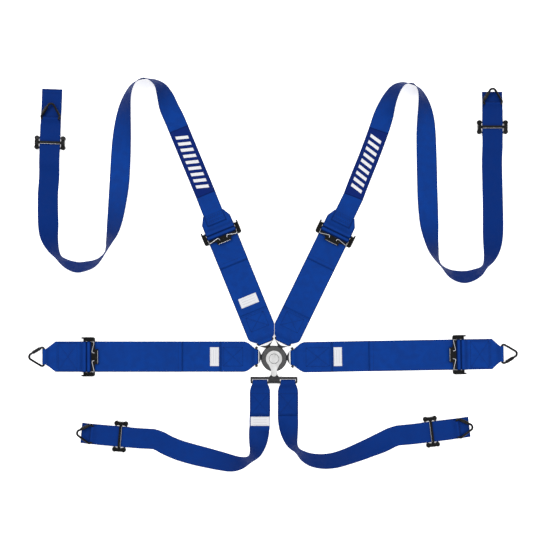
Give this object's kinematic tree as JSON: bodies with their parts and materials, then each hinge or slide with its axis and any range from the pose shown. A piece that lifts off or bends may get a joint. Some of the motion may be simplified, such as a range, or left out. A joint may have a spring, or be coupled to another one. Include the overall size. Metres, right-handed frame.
{
  "type": "racing harness",
  "caption": "Six-point racing harness laid flat: cam-lock buckle, plug-in tongues, wide and slim webbing, slip adjusters, slides and wire snap hooks.",
  "frame": {"origin": "centre of the buckle's back face", "axes": "+Z out of the buckle's face, +Y towards the shoulder hooks, +X towards the viewer's right when seen from above"},
  "size_m": [1.2229, 0.9782, 0.0516],
  "materials": {
    "webbing": "woven polyester, royal blue",
    "patch": "dark navy woven patch",
    "label": "white satin label",
    "lever": "satin, brushed",
    "housing": "graphite paint",
    "stamped_steel": "black oxide with worn edges",
    "wire_steel": "black oxide",
    "tongue_steel": "dark grey coated steel",
    "spring_steel": "spring steel",
    "bare_steel": "zinc plated steel"
  },
  "bodies": {
    "buckle": {"buckle_cover": "housing", "buckle_rim": "housing", "buckle_back_plate": "bare_steel", "buckle_screws": "bare_steel", "buckle_spindle": "bare_steel", "guide_plate": "bare_steel", "fixed_tongue_rivet": "bare_steel", "lap_tongue_right": "tongue_steel", "latch_springs": "spring_steel", "lever_spring": "spring_steel"},
    "lever": {"turn_lever": "lever", "release_cam": "bare_steel", "lever_cap": "lever"},
    "latch": {"latch_pins": "bare_steel"},
    "shoulder_tongue_left": {"shoulder_tongue_left": "tongue_steel"},
    "shoulder_tongue_right": {"shoulder_tongue_right": "tongue_steel"},
    "lap_tongue_left": {"lap_tongue_left": "tongue_steel"},
    "crotch_tongue": {"crotch_tongue": "tongue_steel"},
    "shoulder_strap_left": {"shoulder_strap_left": "webbing", "label_shoulder": "label"},
    "shoulder_strap_right": {"shoulder_strap_right": "webbing"},
    "lap_strap_left": {"lap_strap_left": "webbing", "label_lap_left": "label"},
    "lap_strap_right": {"lap_strap_right": "webbing", "label_lap_right": "label"},
    "leg_strap_left": {"leg_strap_left": "webbing", "label_leg": "label"},
    "leg_strap_right": {"leg_strap_right": "webbing"},
    "shoulder_adjuster_left": {"shoulder_adjuster_left": "stamped_steel", "shoulder_tail_left": "webbing"},
    "shoulder_upper_left": {"shoulder_loop_left": "webbing", "shoulder_upper_left": "webbing", "shoulder_patch_left": "patch"},
    "shoulder_adjuster_right": {"shoulder_adjuster_right": "stamped_steel", "shoulder_tail_right": "webbing"},
    "shoulder_upper_right": {"shoulder_loop_right": "webbing", "shoulder_upper_right": "webbing", "shoulder_patch_right": "patch"},
    "lap_adjuster_left": {"lap_adjuster_left": "stamped_steel", "lap_tail_left": "webbing"},
    "lap_end_left": {"lap_end_left": "webbing"},
    "lap_adjuster_right": {"lap_adjuster_right": "stamped_steel", "lap_tail_right": "webbing"},
    "lap_end_right": {"lap_end_right": "webbing"},
    "shoulder_slide_left": {"shoulder_slide_left": "stamped_steel"},
    "shoulder_slide_right": {"shoulder_slide_right": "stamped_steel"},
    "leg_slide_left": {"leg_slide_left": "stamped_steel"},
    "leg_slide_right": {"leg_slide_right": "stamped_steel"},
    "shoulder_hook_left": {"shoulder_hook_left": "wire_steel"},
    "shoulder_gate_left": {"shoulder_gate_left": "wire_steel"},
    "shoulder_hook_right": {"shoulder_hook_right": "wire_steel"},
    "shoulder_gate_right": {"shoulder_gate_right": "wire_steel"},
    "leg_hook_left": {"leg_hook_left": "wire_steel"},
    "leg_gate_left": {"leg_gate_left": "wire_steel"},
    "leg_hook_right": {"leg_hook_right": "wire_steel"},
    "leg_gate_right": {"leg_gate_right": "wire_steel"},
    "lap_hook_left": {"lap_hook_left": "wire_steel"},
    "lap_gate_left": {"lap_gate_left": "wire_steel"},
    "lap_hook_right": {"lap_hook_right": "wire_steel"},
    "lap_gate_right": {"lap_gate_right": "wire_steel"}
  },
  "joints": [
    {"name": "lever_turn", "type": "hinge", "parent": "buckle", "child": "lever", "pos_m": [0, 0, 0.02], "axis": [0, 0, 1], "range_deg": [-40, 40], "stiffness_Nm_per_rad": 0.05, "deforming": ["lever_spring"]},
    {"name": "latch_drop", "type": "slide", "parent": "buckle", "child": "latch", "axis": [0, 0, -1], "range_m": [0, 0.0026], "stiffness_N_per_m": 60, "deforming": ["latch_springs"]},
    {"name": "shoulder_tongue_left_release", "type": "slide", "parent": "buckle", "child": "shoulder_tongue_left", "axis": [-0.4617, 0.887, 0], "range_m": [0, 0.045]},
    {"name": "shoulder_tongue_right_release", "type": "slide", "parent": "buckle", "child": "shoulder_tongue_right", "axis": [0.4617, 0.887, 0], "range_m": [0, 0.045]},
    {"name": "lap_tongue_left_release", "type": "slide", "parent": "buckle", "child": "lap_tongue_left", "axis": [-0.9959, 0.0906, 0], "range_m": [0, 0.045]},
    {"name": "crotch_tongue_release", "type": "slide", "parent": "buckle", "child": "crotch_tongue", "axis": [0, -1, 0], "range_m": [0, 0.045]},
    {"name": "shoulder_strap_left_lift", "type": "hinge", "parent": "shoulder_tongue_left", "child": "shoulder_strap_left", "pos_m": [-0.0222, 0.0426, 0.0055], "axis": [0.9265, 0.3762, 0], "range_deg": [0, 60]},
    {"name": "shoulder_strap_right_lift", "type": "hinge", "parent": "shoulder_tongue_right", "child": "shoulder_strap_right", "pos_m": [0.0222, 0.0426, 0.0055], "axis": [0.8988, -0.4384, 0], "range_deg": [0, 60]},
    {"name": "lap_strap_left_lift", "type": "hinge", "parent": "lap_tongue_left", "child": "lap_strap_left", "pos_m": [-0.044, 0.004, 0.0055], "axis": [0, 1, 0], "range_deg": [0, 60]},
    {"name": "lap_strap_right_lift", "type": "hinge", "parent": "buckle", "child": "lap_strap_right", "pos_m": [0.046, 0.002, 0.0055], "axis": [0.0175, -0.9998, 0], "range_deg": [0, 60]},
    {"name": "leg_strap_left_lift", "type": "hinge", "parent": "crotch_tongue", "child": "leg_strap_left", "pos_m": [-0.035, -0.06, 0.0055], "axis": [-1, 0, 0], "range_deg": [0, 60]},
    {"name": "leg_strap_right_lift", "type": "hinge", "parent": "crotch_tongue", "child": "leg_strap_right", "pos_m": [0.035, -0.06, 0.0055], "axis": [-1, 0, 0], "range_deg": [0, 60]},
    {"name": "shoulder_adjuster_left_slip", "type": "slide", "parent": "shoulder_strap_left", "child": "shoulder_adjuster_left", "axis": [-0.3762, 0.9265, 0], "range_m": [-0.06, 0.06], "deforming": ["shoulder_strap_left"]},
    {"name": "shoulder_upper_left_lift", "type": "hinge", "parent": "shoulder_adjuster_left", "child": "shoulder_upper_left", "pos_m": [-0.13552, 0.32167, 0.0055], "axis": [0.9265, 0.3762, 0], "range_deg": [0, 45]},
    {"name": "shoulder_adjuster_right_slip", "type": "slide", "parent": "shoulder_strap_right", "child": "shoulder_adjuster_right", "axis": [0.4384, 0.8988, 0], "range_m": [-0.06, 0.06], "deforming": ["shoulder_strap_right"]},
    {"name": "shoulder_upper_right_lift", "type": "hinge", "parent": "shoulder_adjuster_right", "child": "shoulder_upper_right", "pos_m": [0.15731, 0.31961, 0.0055], "axis": [0.8988, -0.4384, 0], "range_deg": [0, 45]},
    {"name": "lap_adjuster_left_slip", "type": "slide", "parent": "lap_strap_left", "child": "lap_adjuster_left", "axis": [-1, 0, 0], "range_m": [-0.06, 0.06], "deforming": ["lap_strap_left"]},
    {"name": "lap_end_left_lift", "type": "hinge", "parent": "lap_adjuster_left", "child": "lap_end_left", "pos_m": [-0.4732, 0.004, 0.0055], "axis": [0, 1, 0], "range_deg": [0, 45]},
    {"name": "lap_adjuster_right_slip", "type": "slide", "parent": "lap_strap_right", "child": "lap_adjuster_right", "axis": [0.9998, 0.0175, 0], "range_m": [-0.06, 0.06], "deforming": ["lap_strap_right"]},
    {"name": "lap_end_right_lift", "type": "hinge", "parent": "lap_adjuster_right", "child": "lap_end_right", "pos_m": [0.47214, 0.00944, 0.0055], "axis": [0.0175, -0.9998, 0], "range_deg": [0, 45]},
    {"name": "shoulder_slide_left_slip", "type": "slide", "parent": "shoulder_upper_left", "child": "shoulder_slide_left", "axis": [0.0349, 0.9994, 0], "range_m": [-0.02, 0.025]},
    {"name": "shoulder_slide_right_slip", "type": "slide", "parent": "shoulder_upper_right", "child": "shoulder_slide_right", "axis": [0, 1, 0], "range_m": [-0.02, 0.025]},
    {"name": "leg_slide_left_slip", "type": "slide", "parent": "leg_strap_left", "child": "leg_slide_left", "axis": [-0.9962, 0.0872, 0], "range_m": [-0.02, 0.025]},
    {"name": "leg_slide_right_slip", "type": "slide", "parent": "leg_strap_right", "child": "leg_slide_right", "axis": [0.9925, 0.1219, 0], "range_m": [-0.02, 0.025]},
    {"name": "shoulder_hook_left_swing", "type": "hinge", "parent": "shoulder_upper_left", "child": "shoulder_hook_left", "pos_m": [-0.55691, 0.59796, 0.01085], "axis": [0.9994, -0.0349, 0], "range_deg": [0, 90]},
    {"name": "shoulder_gate_left_open", "type": "hinge", "parent": "shoulder_hook_left", "child": "shoulder_gate_left", "pos_m": [-0.5762, 0.6105, 0.01085], "axis": [0, 0, -1], "range_deg": [0, 25], "stiffness_Nm_per_rad": 0.02},
    {"name": "shoulder_hook_right_swing", "type": "hinge", "parent": "shoulder_upper_right", "child": "shoulder_hook_right", "pos_m": [0.545, 0.635, 0.01085], "axis": [1, 0, 0], "range_deg": [0, 90]},
    {"name": "shoulder_gate_right_open", "type": "hinge", "parent": "shoulder_hook_right", "child": "shoulder_gate_right", "pos_m": [0.52528, 0.64686, 0.01085], "axis": [0, 0, -1], "range_deg": [0, 25], "stiffness_Nm_per_rad": 0.02},
    {"name": "leg_hook_left_swing", "type": "hinge", "parent": "leg_strap_left", "child": "leg_hook_left", "pos_m": [-0.45373, -0.1889, 0.01085], "axis": [0.0872, 0.9962, 0], "range_deg": [0, 90]},
    {"name": "leg_gate_left_open", "type": "hinge", "parent": "leg_hook_left", "child": "leg_gate_left", "pos_m": [-0.46383, -0.16822, 0.01085], "axis": [0, 0, 1], "range_deg": [0, 25], "stiffness_Nm_per_rad": 0.02},
    {"name": "leg_hook_right_swing", "type": "hinge", "parent": "leg_strap_right", "child": "leg_hook_right", "pos_m": [0.45752, -0.17508, 0.01085], "axis": [0.1219, -0.9925, 0], "range_deg": [0, 90]},
    {"name": "leg_gate_right_open", "type": "hinge", "parent": "leg_hook_right", "child": "leg_gate_right", "pos_m": [0.46688, -0.15406, 0.01085], "axis": [0, 0, -1], "range_deg": [0, 25], "stiffness_Nm_per_rad": 0.02},
    {"name": "lap_hook_left_swing", "type": "hinge", "parent": "lap_end_left", "child": "lap_hook_left", "pos_m": [-0.574, 0.004, 0.0055], "axis": [0, 1, 0], "range_deg": [0, 90]},
    {"name": "lap_gate_left_open", "type": "hinge", "parent": "lap_hook_left", "child": "lap_gate_left", "pos_m": [-0.58586, 0.02372, 0.0055], "axis": [0, 0, 1], "range_deg": [0, 25], "stiffness_Nm_per_rad": 0.02},
    {"name": "lap_hook_right_swing", "type": "hinge", "parent": "lap_end_right", "child": "lap_hook_right", "pos_m": [0.56892, 0.01113, 0.0055], "axis": [0.0175, -0.9998, 0], "range_deg": [0, 90]},
    {"name": "lap_gate_right_open", "type": "hinge", "parent": "lap_hook_right", "child": "lap_gate_right", "pos_m": [0.58112, -0.00839, 0.0055], "axis": [0, 0, 1], "range_deg": [0, 25], "stiffness_Nm_per_rad": 0.02}
  ]
}
